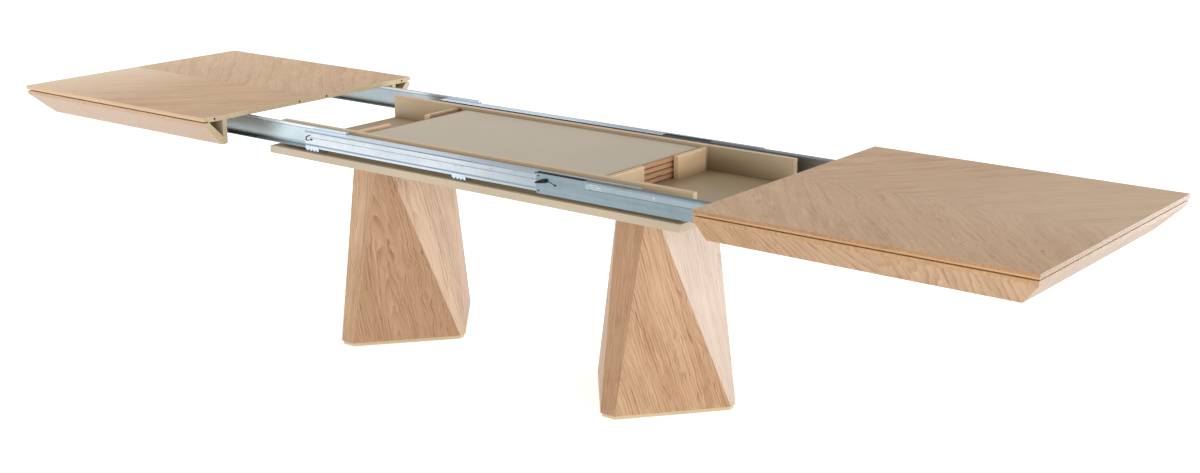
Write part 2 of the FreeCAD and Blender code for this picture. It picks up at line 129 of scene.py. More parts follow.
class Mat:
    """A material with a Principled shader, and short calls for its pattern nodes."""

    def __init__(self, name, **sockets):
        self.m = bpy.data.materials.new(name)
        self.m.use_nodes = True
        self.t = self.m.node_tree
        self.p = self.t.nodes["Principled BSDF"]
        for k, v in sockets.items():
            self.p.inputs[k.replace("_", " ")].default_value = v
        tc = self.t.nodes.new("ShaderNodeTexCoord")
        self.pos = Val(self.t, tc.outputs["Object"])
        ge = self.t.nodes.new("ShaderNodeNewGeometry")
        self.nor = Val(self.t, ge.outputs["True Normal"])
        self.x, self.y, self.z = self.split(self.pos)
        self.z = self.z - RAISED
        self.nx, self.ny, self.nz = self.split(self.nor)

    def split(self, v):
        n = self.t.nodes.new("ShaderNodeSeparateXYZ")
        put(n, 0, v)
        return [Val(self.t, o) for o in n.outputs]

    def vec(self, x=0.0, y=0.0, z=0.0):
        n = self.t.nodes.new("ShaderNodeCombineXYZ")
        put(n, 0, x), put(n, 1, y), put(n, 2, z)
        return Val(self.t, n.outputs[0])

    def noise(self, v, scale=1.0, detail=2.0, rough=0.5, distort=0.0, w=None):
        n = self.t.nodes.new("ShaderNodeTexNoise")
        n.noise_dimensions = "4D" if w is not None else "3D"
        put(n, "Vector", v), put(n, "Scale", scale), put(n, "Detail", detail)
        put(n, "Roughness", rough), put(n, "Distortion", distort)
        if w is not None:
            put(n, "W", w)
        return Val(self.t, n.outputs["Fac"])

    def cells(self, v, scale=1.0, feature="F1", rand=1.0, out="Color"):
        n = self.t.nodes.new("ShaderNodeTexVoronoi")
        n.feature = feature
        put(n, "Vector", v), put(n, "Scale", scale), put(n, "Randomness", rand)
        return Val(self.t, n.outputs[out])

    def rand(self, w):
        n = self.t.nodes.new("ShaderNodeTexWhiteNoise")
        n.noise_dimensions = "1D"
        put(n, "W", w)
        return Val(self.t, n.outputs["Value"])

    def mix(self, f, a, b, kind="MIX"):
        n = self.t.nodes.new("ShaderNodeMix")
        n.data_type, n.blend_type = "RGBA", kind
        for i, v in ((0, f), (6, a), (7, b)):
            put(n, i, v)
        return Val(self.t, n.outputs[2])

    def ramp(self, f, *stops):
        n = self.t.nodes.new("ShaderNodeValToRGB")
        put(n, 0, f)
        e = n.color_ramp.elements
        while len(e) < len(stops):
            e.new(0.5)
        for el, (at, col) in zip(e, stops):
            el.position, el.color = at, (*col, 1.0)
        return Val(self.t, n.outputs[0])

    def bump(self, height, distance, strength=1.0):
        n = self.t.nodes.new("ShaderNodeBump")
        put(n, "Strength", strength), put(n, "Distance", distance), put(n, "Height", height)
        self.t.links.new(n.outputs[0], self.p.inputs["Normal"])

    def out(self, colour=None, rough=None, metal=None):
        if colour is not None:
            put(self.p, "Base Color", colour)
        if rough is not None:
            put(self.p, "Roughness", rough)
        if metal is not None:
            put(self.p, "Metallic", metal)
        return self.m


def lin(r, g, b):
    """sRGB 0-255 to the linear values that the sockets take."""
    return tuple(c / 12.92 if c <= 0.04045 else ((c + 0.055) / 1.055) ** 2.4
                 for c in (r / 255, g / 255, b / 255))


# ------------------------------------------------------------------ wood
def figure(k, u, v, seed, v0=0.0, h0=0.05, rise=0.05, rings=70.0, wave=1.0, curl=1.0, bold=1.0):
    """Sliced veneer: u runs along the grain and v across it, in metres.
    Rings are cut at a shallow angle round a line at v0, which gives arches there and straight grain away from it.
    Returns tone 0 light to 1 dark, the pores and the fine fibre."""
    big = k.noise(k.vec(u * 1.3, v * 2.6, seed), 1.0, 2.0, 0.5) - 0.5
    mid = k.noise(k.vec(u * 7.0, v * 16.0, seed + 3.1), 1.0, 2.0, 0.55) - 0.5
    wig = k.noise(k.vec(u * 24.0, v * 42.0, seed + 8.4), 1.0, 2.0, 0.55) - 0.5
    patch = k.noise(k.vec(u * 3.0, v * 5.0, seed + 5.7), 1.0, 1.0, 0.5).step(0.50, 0.66)
    vw = v + big * (0.075 * wave) + mid * (0.020 * wave) + wig * (patch * (0.020 * curl) + 0.004)
    dv = vw - v0
    h = u * rise + h0 + big * 0.03
    r = (dv * dv + h * h).sqrt() * rings
    r = r + (k.noise(k.vec(u * 2.0, vw * 30.0, seed + 11.0), 1.0, 2.0, 0.5) - 0.5) * 1.4
    t = r.fract()
    who = k.rand(r.floor() + seed)
    gate = k.noise(k.vec(u * 10.0, vw * 46.0, seed + 13.0), 1.0, 2.0, 0.6).step(0.36, 0.62)
    vary = (who * 0.75 + 0.25) * (gate * 0.75 + 0.25)
    ring = (t.step(0.40, 0.93) - t.step(0.93, 1.0)) * vary
    pale = t.step(0.0, 0.30, 1.0, 0.0) * vary
    band = k.noise(k.vec(u * 1.2, vw * 18.0, seed + 17.0), 1.0, 3.0, 0.55)
    streak = k.noise(k.vec(u * 8.0, vw * 190.0, seed + 23.0), 1.0, 3.0, 0.62)
    fibre = k.noise(k.vec(u * 30.0, vw * 1000.0, seed + 29.0), 1.0, 2.0, 0.6)
    pores = k.noise(k.vec(u * 75.0, vw * 1100.0, seed + 31.0), 1.0, 1.0, 0.5).step(0.60, 0.72)
    pores = pores * (t.step(0.0, 0.25) * 0.55 + 0.45)
    mark = k.noise(k.vec(u * 15.0, vw * 230.0, seed + 41.0), 1.0, 1.0, 0.5).step(0.62, 0.74)
    mark = mark * k.noise(k.vec(u * 3.5, vw * 16.0, seed + 43.0), 1.0, 1.0, 0.5).step(0.42, 0.60)
    tone = ring * (0.50 * bold) - pale * (0.20 * bold) + (band - 0.5) * 0.50 + (streak - 0.5) * 0.60 + (fibre - 0.5) * 0.12 + 0.31
    tone = tone + mark * 0.34 + pores * 0.07
    return tone.clamp(), pores, fibre, mark


def loose(k, c, u, v, seed, dark, light, short=13.0):
    """Loose dark flecks in drifts and small light streaks, both along the grain."""
    drift = k.noise(k.vec(u * 2.6, v * 6.0, seed + 71.0), 1.0, 2.0, 0.6).step(0.46, 0.64)
    warp = v + (k.noise(k.vec(u * 12.0, v * 20.0, seed + 73.0), 1.0, 2.0, 0.55) - 0.5) * 0.035
    fleck = k.noise(k.vec(u * short, warp * 120.0, seed + 75.0), 1.0, 2.0, 0.55).step(0.58, 0.68)
    c = k.mix(fleck * drift * dark, c, lin(134, 88, 54))
    glint = k.noise(k.vec(u * 9.0, warp * 90.0, seed + 79.0), 1.0, 2.0, 0.55).step(0.60, 0.72)
    return k.mix(glint * light, c, lin(222, 190, 152))


WOOD_LIGHT = lin(202, 168, 134)
WOOD_MID = lin(178, 140, 104)
WOOD_LOW = lin(156, 110, 72)
WOOD_DARK = lin(120, 72, 38)


def wood_colour(k, tone, tint=(1, 1, 1), contrast=1.0):
    """The veneer's colours over its tone, narrowed about the middle by contrast."""
    t = (tone - 0.40) * contrast + 0.40
    c = k.ramp(t, (0.0, WOOD_LIGHT), (0.40, WOOD_MID), (0.68, WOOD_LOW), (1.0, WOOD_DARK))
    return k.mix(1.0, c, tint, "MULTIPLY") if tint != (1, 1, 1) else c


def soft_spots(k, seed, amount=1.0):
    """Slow changes of colour over a board, about 1."""
    return (k.noise(k.pos, 2.3, 2.0, 0.5, w=seed) - 0.5) * (0.22 * amount)


def finish_wood(k, colour, pores, fibre, mark, seed, rough=0.46, wear=None, spots=1.0):
    s = soft_spots(k, seed, spots)
    colour = k.mix(s.max(0.0), colour, lin(220, 196, 166))
    colour = k.mix((-s).max(0.0) * 1.2, colour, lin(134, 100, 70))
    if wear is not None:
        colour = k.mix(wear, colour, lin(208, 180, 146))
    smear = k.noise(k.pos, 9.0, 3.0, 0.6, w=seed + 2.0)
    r = (smear - 0.5) * 0.16 + rough + pores * 0.10 + (fibre - 0.5) * 0.06
    k.bump(fibre * 0.35 - pores * 0.8 - mark * 0.5 + smear * 0.15, 0.00022, 0.55)
    return k.out(colour, r.clamp())


def raw_board(k, seed):
    """Cut edge of the pressed core: fine pale chips, sealed."""
    chips = k.cells(k.pos, 420.0)
    n = k.noise(k.pos, 160.0, 4.0, 0.7, w=seed)
    c = k.mix(n.step(0.35, 0.7), lin(200, 180, 142), lin(172, 148, 108))
    c = k.mix(0.10, c, chips)
    return c, n


def top_board(side):
    """45 degree book-matched veneer, meeting along the middle of the table; solid lipping on the outer edges."""
    seed = 10.0 if side < 0 else 20.0
    k = Mat("veneer_top_left" if side < 0 else "veneer_top_right", Specular_IOR_Level=0.42,
            Coat_Weight=0.10, Coat_Roughness=0.32)
    ax, ay = k.x.abs(), k.y.abs()
    ang = math.radians(45.0 if side < 0 else 49.0)
    c, s = math.cos(ang), math.sin(ang)
    u, v = ax * c + ay * s, ax * s - ay * c
    back = k.y.gt(0.0)
    tone, pores, fibre, mark = figure(k, u, v, back * 0.013 + seed, v0=0.62 if side > 0 else 1.9,
                                      h0=0.10, rise=0.06, rings=46.0 if side > 0 else 26.0,
                                      wave=1.5 if side > 0 else 0.9, curl=1.8 if side > 0 else 0.8,
                                      bold=0.46 if side > 0 else 0.36)
    top = wood_colour(k, tone, (1.0, 0.985, 0.90) if side > 0 else (0.935, 0.885, 0.74), contrast=1.12 if side > 0 else 1.45)
    # loose flecks in drifts, longer on the back sheet
    if side > 0:
        top = loose(k, top, u, v, seed, back * 0.10 + 0.44, 0.30, back * -6.0 + 13.0)
    else:
        top = loose(k, top, u, v, seed, back * -0.06 + 0.14, back * 0.24 + 0.12, back * -5.0 + 11.0)
    # a hair-line where the two sheets meet, and a slightly different tone on each sheet
    seam = ay.step(0.0004, 0.0011, 1.0, 0.0)
    top = k.mix(seam * 0.45, top, lin(140, 104, 76))
    top = k.mix(back * (0.04 if side > 0 else 0.10), top, lin(196, 172, 144))
    if side < 0:
        # painted light and shade: this sheet is painted paler towards its outer end, as sheen, and a little darker
        # near its inner end
        top = k.mix((ax - 1.45).max(0.0) * (1.25 - back * 0.85), top, lin(228, 204, 176))
        top = k.mix(ax.step(1.0, 1.35, 0.22, 0.0), top, lin(154, 116, 80))
    else:
        # painted sheen: this sheet is painted paler towards its outer end, most at the back
        top = k.mix((ax - 1.3).max(0.0) * (k.y.step(-0.38, 0.10) * 0.56 + 0.02), top, lin(210, 184, 154))
    # lipping: grain runs along the edge, and short rays cross it
    along = k.nx.abs().gt(0.5)
    e_u = k.mix(along, k.vec(k.x, 0.0, 0.0), k.vec(k.y, 0.0, 0.0))
    eu = k.split(e_u)[0]
    lt, lp, lf, lm = figure(k, eu, k.z, seed + 60.0, v0=0.72, h0=0.03, rise=0.02, rings=260.0, wave=0.25)
    rays = k.noise(k.vec(eu * 150.0 + k.z * 90.0, k.z * 60.0, seed), 1.0, 3.0, 0.6)
    lip = k.ramp(lt * 0.5 + (rays - 0.5) * 1.5 + 0.14, (0.0, lin(190, 148, 104)), (0.5, lin(161, 117, 75)),
                 (1.0, lin(120, 78, 44)))
    # the front lipping is in two strips: a browner, blotched one over a bright one
    blotch = k.noise(k.vec(eu * 9.0, k.z * 60.0, seed + 3.0), 1.0, 3.0, 0.6)
    upper = k.z.step(0.7578, 0.7588) * (1.0 - along)
    near = 0.30 if side > 0 else ax.step(1.05, 1.5, 0.62, 0.04)
    lip = k.mix(upper * (blotch.step(0.30, 0.62) * near + 0.05), lip, lin(124, 86, 54))
    lip = k.mix((1.0 - upper) * (1.0 - along) * (rays.step(0.36, 0.62) * 0.34 + 0.06), lip, lin(222, 172, 118))
    # painted light: the lipping on the ends is painted greyer, as the side lamp washes it out
    lip = k.mix(along * 0.74, lip, lin(140, 123, 107))
    # painted sheen: the left-hand lipping is painted paler
    if side < 0:
        lip = k.mix(0.50, lip, lin(226, 200, 166))
    raw, chips = raw_board(k, seed)
    facing = k.nz.step(0.5, 0.8)
    under = k.nz.step(-0.8, -0.5, 1.0, 0.0)
    inner = (ax - 1.0).abs().step(0.0002, 0.0008, 1.0, 0.0) * k.nz.abs().step(0.3, 0.6, 1.0, 0.0)
    edge = k.mix(inner, lip, raw)
    # painted shade inside the dowel holes
    hole_shade = ax.lt(1.06) * (k.z - 0.758).abs().lt(0.0047) * k.nx.abs().lt(0.6) * ay.lt(0.49)
    edge = k.mix(hole_shade * 0.92, edge, lin(40, 28, 18))
    colour = k.mix(facing, edge, top)
    colour = k.mix(under, colour, k.mix(0.35, wood_colour(k, lt, contrast=0.5), lin(196, 178, 148)))
    d = (2.0 - ax).min(0.5 - ay).min(ax - 1.0)
    wear = d.step(0.0006, 0.0030, 1.0, 0.0) * k.noise(k.pos, 38.0, 3.0, 0.65, w=seed).step(0.42, 0.66) * 0.45
    return finish_wood(k, colour, pores * facing, fibre, mark * facing, seed, 0.44, wear * facing, 0.8)


def apron(side, across, face):
    """Veneer carried over the edge: its grain runs down the bevel. across is 'x' for a front or back rail."""
    seed = {"front": 31.0, "back": 36.0, "end": 41.0}[face] + (0.0 if side < 0 else 7.0)
    k = Mat("veneer_apron_%s_%s" % ("left" if side < 0 else "right", face), Specular_IOR_Level=0.45,
            Coat_Weight=0.14, Coat_Roughness=0.30)
    long = k.x.abs() if across == "x" else k.y
    down = k.z * -1.4142
    ang = math.radians(80.0)
    u = down * math.sin(ang) + long * math.cos(ang)
    v = long * math.sin(ang) - down * math.cos(ang)
    tone, pores, fibre, mark = figure(k, u, v, seed, v0=1.72 if across == "x" else 0.1, h0=0.35, rise=0.25,
                                      rings=52.0, wave=0.7)
    # painted sheen: the left-hand front apron is painted paler and greyer, as the reflection of the bright floor on
    # it
    pale = side < 0 and face == "front"
    body = wood_colour(k, tone, (0.80, 0.775, 0.69), contrast=0.50 if pale else 1.15)
    if pale:
        body = k.mix(0.44, body, lin(190, 172, 156))
        smudge = k.noise(k.vec(long * 14.0, k.z * 30.0, seed + 5.0), 1.0, 3.0, 0.6).step(0.58, 0.74)
        body = k.mix(smudge * 0.22, body, lin(176, 128, 96))
    # the upright lip under the groove is solid
    lt, lp, lf, lm = figure(k, long, k.z, seed + 60.0, v0=0.72, h0=0.03, rise=0.02, rings=240.0, wave=0.25)
    rays = k.noise(k.vec(long * 150.0 + k.z * 90.0, k.z * 60.0, seed), 1.0, 3.0, 0.6)
    lip = k.ramp(lt * 0.5 + (rays - 0.5) * 1.3 + 0.14, (0.0, lin(192, 152, 110)), (0.5, lin(168, 127, 86)),
                 (1.0, lin(128, 88, 54)))
    # painted light and shade on the ends: the left-hand end lip is painted pale, and the right-hand end painted
    # darker against the strong side lamp
    if face == "end":
        lip = k.mix(0.66, lip, lin(192, 174, 158) if side < 0 else lin(146, 131, 116))
        if side > 0:
            body = k.mix(0.46, body, lin(130, 112, 94))
    # painted sheen: the left-hand lip is painted paler
    if side < 0:
        lip = k.mix(0.34, lip, lin(208, 188, 160))
    colour = k.mix(k.z.step(0.7355, 0.7362), body, lip)
    raw, chips = raw_board(k, seed)
    raw = k.mix(0.35, raw, lin(206, 188, 158))
    inner = (k.x.abs() - 1.0).abs().step(0.0002, 0.0008, 1.0, 0.0)
    # inside faces are the bare core
    inside = k.nz.step(0.2, 0.5)
    colour = k.mix(inside * 0.8, colour, raw)
    colour = k.mix(inner, colour, raw)
    low = k.z.step(0.6650, 0.6675, 1.0, 0.0) * k.noise(k.pos, 40.0, 3.0, 0.6, w=seed).step(0.45, 0.7) * 0.4
    return finish_wood(k, colour, pores, fibre, mark, seed, 0.42, low, 0.7)


def pedestal():
    """Each facet is its own sheet: the frame of the pattern comes from the facet's own direction."""
    k = Mat("veneer_pedestal", Specular_IOR_Level=0.42, Coat_Weight=0.10, Coat_Roughness=0.34)
    side = k.x.sign()
    xl = k.x - side * 0.56
    flat = (k.nx * k.nx + k.ny * k.ny).sqrt().max(0.05)
    ex, ey = (-k.ny) / flat, k.nx / flat
    v = xl * ex + k.y * ey
    u = (k.z - 0.33) / flat
    diag = (k.nx * k.ny).abs().step(0.12, 0.3)
    onx = k.nx.abs().step(0.80, 0.90)
    # sheets lean in their facets: more on the right-hand pedestal
    lean = diag * (side * 0.075 + 0.235)
    a = u - v * lean
    b = v + u * lean
    who = (k.nx * 3.0 + k.ny * 7.0 + side * 5.0) * 2.0
    seed = (who * 0.37).floor() * 1.7 + side * 9.0 + 50.0
    v0 = ((k.rand(seed) - 0.5).sign() * 0.12 + (k.rand(seed + 6.0) - 0.5) * 0.06) * (1.0 - onx * 0.35)
    tone, pores, fibre, mark = figure(k, a, b, seed, v0=v0, h0=0.05, rise=0.09, rings=104.0, wave=0.85, bold=0.74)
    strong = k.nx.step(0.80, 0.90)
    colour = wood_colour(k, (tone - 0.40) * (strong * 1.1 + 1.30) + 0.425)
    colour = loose(k, colour, a, b, seed, 0.62, 0.30, 15.0)
    shade = k.rand(seed + 2.0) - 0.5
    colour = k.mix(shade.max(0.0) * 0.25, colour, lin(206, 178, 148))
    colour = k.mix((-shade).max(0.0) * 0.25, colour, lin(150, 110, 78))
    # painted light: the narrow sides facing along x are painted paler and pinker, most on the right-hand pedestal,
    # where the lamp from the right falls
    pale = (side * 0.185 + 0.435) * k.nx.step(0.80, 0.90)
    colour = k.mix(pale, colour, k.mix(k.x.gt(0.0), lin(198, 186, 174), lin(192, 180, 170)))
    # painted shade: the left one's diagonal facets and the right one's narrow front are painted deeper, as the shade
    # they lie in
    facet_shade = side.lt(0.0) * diag * 0.24 + side.gt(0.0) * k.ny.abs().step(0.88, 0.95) * 0.34
    colour = k.mix(facet_shade, colour, lin(146, 104, 68))
    # inside, and on the cut feet, the bare core shows
    core = k.noise(k.pos, 180.0, 4.0, 0.7, w=5.0)
    within = (k.nx * xl + k.ny * k.y).lt(0.0)
    colour = k.mix(within.max(k.nz.lt(-0.9)) * 0.9, colour, k.mix(core, lin(176, 150, 112), lin(146, 120, 86)))
    # light rubbing near the foot
    foot = k.z.step(0.012, 0.051, 1.0, 0.0) * k.noise(k.pos, 26.0, 3.0, 0.65, w=2.0).step(0.48, 0.7) * 0.30
    return finish_wood(k, colour, pores, fibre, mark, 51.0, 0.45, foot, 1.0)


# ------------------------------------------------------------------ lacquer, boards, metals, plastics
def lacquer(name, base=(184, 169, 144), seed=1.0, rough=0.40, part=""):
    """Satin pigmented lacquer: a fine orange peel, faint cloudiness and faint rubbed streaks in its roughness."""
    k = Mat(name, Specular_IOR_Level=0.42, Coat_Weight=0.06, Coat_Roughness=0.28)
    cloud = k.noise(k.pos, 3.0, 3.0, 0.55, w=seed)
    peel = k.noise(k.pos, 620.0, 2.0, 0.5, w=seed)
    dust = k.noise(k.pos, 70.0, 4.0, 0.7, w=seed + 4.0)
    b = lin(*base)
    c = k.mix(cloud.step(0.3, 0.7), tuple(x * 0.95 for x in b), tuple(min(1.0, x * 1.05) for x in b))
    c = k.mix(dust.step(0.55, 0.78) * 0.16, c, lin(206, 194, 172))
    if part == "plate":
        # painted shade: the floor of the box is painted darker and browner than the edge, as the shade inside the box
        floor = k.nz.gt(0.9) * k.y.abs().lt(0.2619) * k.x.abs().lt(0.852)
        floor_shade = k.mix(cloud, lin(155, 137, 108), lin(144, 124, 94))
        c = k.mix(floor, c, k.mix(dust.step(0.5, 0.8) * 0.25, floor_shade, lin(166, 148, 120)))
    if part == "wall":
        # cut and sealed top edge
        top = k.nz.gt(0.7)
        strip = k.noise(k.vec(k.x * 5.0, k.y * 300.0, k.z * 10.0), 1.0, 3.0, 0.6, w=seed)
        c = k.mix(top * 0.9, c, k.mix(strip, lin(192, 164, 126), lin(174, 146, 108)))
        # painted light: the outside face is painted lighter and warmer where it lies in shade
        c = k.mix(k.ny.lt(-0.5) * k.y.lt(-0.27) * 0.62, c, lin(232, 204, 160))
        # painted shade: the inside is painted browner low down
        inner = k.y.abs().lt(0.2626) * k.z.step(0.668, 0.705, 0.42, 0.0)
        c = k.mix(inner, c, lin(120, 96, 66))
        # painted light: a lighter patch high up on the inside of the back wall, at the left
        c = k.mix(k.y.gt(0.25) * k.y.lt(0.2626) * k.x.step(-0.62, -0.45, 0.42, 0.0) * k.z.step(0.665, 0.735, 0.3, 1.0), c, lin(226, 198, 160))
        # painted shadow on the back-left cross wall beside the leaves, darkest near the back wall
        gap_shadow = k.x.lt(-0.4) * k.x.gt(-0.60) * k.y.gt(0.1) * k.y.lt(0.2619)
        c = k.mix(gap_shadow * (k.nx.gt(0.2) * 0.55).max(k.y.step(0.216, 0.250) * 0.8), c, lin(66, 48, 30))
        # painted shade, darker still, in the corner behind the cross wall
        corner_shade = k.y.gt(0.25) * k.y.lt(0.2626) * k.x.step(0.56, 0.86, 1.0, 0.30) * k.x.gt(0.530) * k.z.step(0.690, 0.752, 1.0, 0.35)
        c = k.mix(corner_shade * 0.66, c, lin(92, 70, 42))
    rub = k.noise(k.vec(k.x * 14.0, k.y * 120.0, k.z * 120.0), 1.0, 3.0, 0.6, w=seed).step(0.62, 0.78)
    k.bump(peel * 0.5 + dust * 0.3, 0.00016, 0.45)
    return k.out(c, ((cloud - 0.5) * 0.14 + (dust - 0.5) * 0.10 + rough + rub * 0.10).clamp())


def leaf_mat(n):
    """Lacquered faces, and bare layered edges with a painted shadow line where the leaves lie on each other."""
    seed = 70.0 + 3.3 * n
    k = Mat("leaf_%d" % n, Specular_IOR_Level=0.42, Coat_Weight=0.06, Coat_Roughness=0.30)
    cloud = k.noise(k.pos, 2.6, 3.0, 0.55, w=seed)
    dust = k.noise(k.pos, 60.0, 4.0, 0.7, w=seed)
    b = lin(170, 156, 133)
    face = k.mix(cloud.step(0.3, 0.7), tuple(x * 0.95 for x in b), tuple(x * 1.05 for x in b))
    face = k.mix(dust.step(0.56, 0.8) * 0.14, face, lin(196, 184, 164))
    lo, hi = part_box("leaf_%d" % n)
    ex = k.nx.abs().gt(0.5)
    long = k.split(k.mix(ex, k.vec(k.x, 0.0, 0.0), k.vec(k.y, 0.0, 0.0)))[0]
    t, pores, fibre, mark = figure(k, long, k.z, seed, v0=0.6, h0=0.02, rise=0.02, rings=330.0, wave=0.3)
    edge = k.ramp(t, (0.0, lin(232, 188, 152)), (0.5, lin(206, 154, 114)), (1.0, lin(122, 78, 50)))
    wob = (k.noise(k.vec(long * 26.0, seed, 0.0), 1.0, 2.0, 0.6) - 0.5) * 0.0030
    zz = k.z + RAISED + wob
    rim = (zz - lo.z).min(hi.z - zz)
    edge = k.mix(rim.step(0.0009, 0.0015, 1.0, 0.0), edge, lin(176, 156, 126))
    edge = k.mix(rim.step(0.0014, 0.0020, 0.0, 1.0) * rim.step(0.0024, 0.0032, 1.0, 0.0) * 0.9, edge, lin(70, 42, 27))
    # painted shadow along the bottom of each edge, where the leaf lies on the one below
    edge = k.mix((zz - lo.z).step(0.0008, 0.0022, 1.0, 0.0) * 0.85, edge, lin(56, 34, 22))
    up = k.nz.abs().step(0.5, 0.8)
    # the facing stops short of the edge: a thin line of bare board, and a darker band beside it towards the ends
    gx, gy = (hi.x - lo.x) / 2.0 - (k.x - (hi.x + lo.x) / 2.0).abs(), (hi.y - lo.y) / 2.0 - (k.y - (hi.y + lo.y) / 2.0).abs()
    near = gx.min(gy)
    face = k.mix(gx.step(0.004, 0.030, 0.30, 0.0), face, lin(150, 140, 108))
    face = k.mix(near.step(0.0016, 0.0026, 1.0, 0.0) * 0.85, face, lin(150, 108, 72))
    face = k.mix(gx.step(0.0060, 0.0075, 1.0, 0.0) * 0.9, face, lin(126, 78, 54))
    k.bump(k.noise(k.pos, 560.0, 2.0, 0.5) * 0.5 + fibre * 0.2, 0.00016, 0.45)
    return k.out(k.mix(up, edge, face), ((cloud - 0.5) * 0.14 + 0.42 + (dust - 0.5) * 0.10).clamp())


def core_board():
    """Plywood: faces with soft grain, edges in thin plies."""
    k = Mat("core_board", Specular_IOR_Level=0.25)
    t, pores, fibre, mark = figure(k, k.x, k.y, 90.0, v0=0.2, h0=0.1, rise=0.03, rings=40.0)
    face = k.ramp(t, (0.0, lin(222, 190, 146)), (0.5, lin(198, 160, 114)), (1.0, lin(150, 108, 70)))
    ply = (k.z * 620.0).fract()
    tint = k.rand((k.z * 620.0).floor())
    edge = k.mix(tint, lin(208, 172, 126), lin(160, 118, 80))
    edge = k.mix(ply.step(0.86, 0.98) * 0.6, edge, lin(96, 64, 42))
    rough = k.noise(k.pos, 120.0, 3.0, 0.6)
    k.bump(fibre * 0.5 + rough * 0.6 - pores, 0.0003, 0.6)
    return k.out(k.mix(k.nz.abs().step(0.5, 0.8), edge, face), (rough * 0.2 + 0.62).clamp())


def bearer_board():
    """Strip between the slides and the base plate, painted dark brown as the shade under the rail; lighter and ragged
    low down, where that painted shade ends.
    """
    k = Mat("bearer_board", Specular_IOR_Level=0.3)
    t, pores, fibre, mark = figure(k, k.x, k.z, 95.0, v0=0.5, h0=0.02, rise=0.01, rings=200.0, wave=0.3)
    c = k.ramp(t, (0.0, lin(98, 82, 56)), (0.5, lin(76, 62, 41)), (1.0, lin(48, 37, 24)))
    ragged = k.noise(k.vec(k.x * 40.0, k.y, k.z * 40.0), 1.0, 2.0, 0.6) * 0.0015
    low = (k.z - ragged).step(0.6682, 0.6712, 1.0, 0.0)
    c = k.mix(low * 0.85, c, lin(150, 132, 106))
    k.bump(fibre * 0.5 - pores, 0.00025, 0.6)
    return k.out(c, ((fibre - 0.5) * 0.2 + 0.58).clamp())


def steel(name, base, rough=0.34, seed=1.0, spangle=0.5, streak=1.0, metal=0.95, low=None, high=None, extra=None):
    """Rolled, zinc-coated strip: spangle, lengthwise rolling lines, soft blotches and handling marks."""
    k = Mat(name, Specular_IOR_Level=0.5)
    roll = k.noise(k.vec(k.x * 3.0, k.y * 420.0, k.z * 420.0), 1.0, 3.0, 0.6, w=seed)
    long = k.noise(k.vec(k.x * 1.6, k.y * 60.0, k.z * 60.0), 1.0, 3.0, 0.55, w=seed + 3.0)
    flake = k.split(k.cells(k.vec(k.x * 150.0, k.y * 260.0, k.z * 260.0), 1.0))[0]
    soft = k.noise(k.pos, 16.0, 4.0, 0.65, w=seed + 5.0)
    scuff = k.noise(k.vec(k.x * 9.0, k.y * 90.0, k.z * 90.0), 1.0, 2.0, 0.7, w=seed + 6.0).step(0.60, 0.74)
    b = lin(*base)
    lo_c = lin(*low) if low else tuple(x * 0.66 for x in b)
    hi_c = lin(*high) if high else tuple(min(1.0, x * 1.22) for x in b)
    tone = ((long - 0.5) * (1.5 * streak) + (roll - 0.5) * (0.8 * streak) + (flake - 0.5) * (0.30 * spangle)
            + (soft - 0.5) * 0.7 + 0.5)
    c = k.ramp(tone.clamp(), (0.0, lo_c), (0.5, b), (1.0, hi_c))
    if extra is not None:
        c = extra(k, c)
    r = (roll - 0.5) * 0.22 + (flake - 0.5) * (0.12 * spangle) + rough + scuff * 0.12 + (soft - 0.5) * 0.12
    k.bump(roll * 0.5 + flake * (0.25 * spangle) + soft * 0.3 - scuff * 0.2, 0.00018, 0.5)
    return k.out(c, r.clamp(), metal)


def nylon(name, base, rough=0.42, seed=1.0, gloss=0.45):
    """Moulded nylon: fine spark-eroded texture and rubbed lighter patches."""
    k = Mat(name, Specular_IOR_Level=gloss)
    grit = k.noise(k.pos, 900.0, 3.0, 0.6, w=seed)
    flow = k.noise(k.pos, 60.0, 3.0, 0.55, w=seed)
    rub = k.noise(k.vec(k.x * 40.0, k.y * 240.0, k.z * 240.0), 1.0, 3.0, 0.6).step(0.58, 0.75)
    b = lin(*base)
    c = k.mix(flow, tuple(x * 0.8 for x in b), tuple(min(1.0, x * 1.2 + 0.004) for x in b))
    c = k.mix(rub * 0.25, c, tuple(min(1.0, x * 1.6 + 0.03) for x in b))
    k.bump(grit * 0.7 + flow * 0.2, 0.00012, 0.5)
    return k.out(c, (grit * 0.14 + rough - rub * 0.10).clamp())


def felt():
    k = Mat("felt", Specular_IOR_Level=0.1, Sheen_Weight=0.5, Sheen_Roughness=0.6)
    f = k.noise(k.pos, 480.0, 4.0, 0.75, distort=2.0)
    g = k.cells(k.pos, 900.0, out="Distance")
    c = k.mix(f.step(0.3, 0.7), lin(58, 50, 42), lin(112, 100, 86))
    k.bump(f + g * 0.5, 0.0006, 0.9)
    return k.out(c, (f * 0.1 + 0.88).clamp())


def dowel():
    k = Mat("beech_dowel", Specular_IOR_Level=0.3)
    t, pores, fibre, mark = figure(k, k.x, k.y + k.z, 120.0, v0=0.3, h0=0.01, rise=0.01, rings=420.0, wave=0.1)
    c = k.ramp(t, (0.0, lin(232, 204, 164)), (0.5, lin(214, 180, 134)), (1.0, lin(172, 132, 88)))
    k.bump(fibre, 0.0002, 0.6)
    return k.out(c, (fibre * 0.15 + 0.5).clamp())


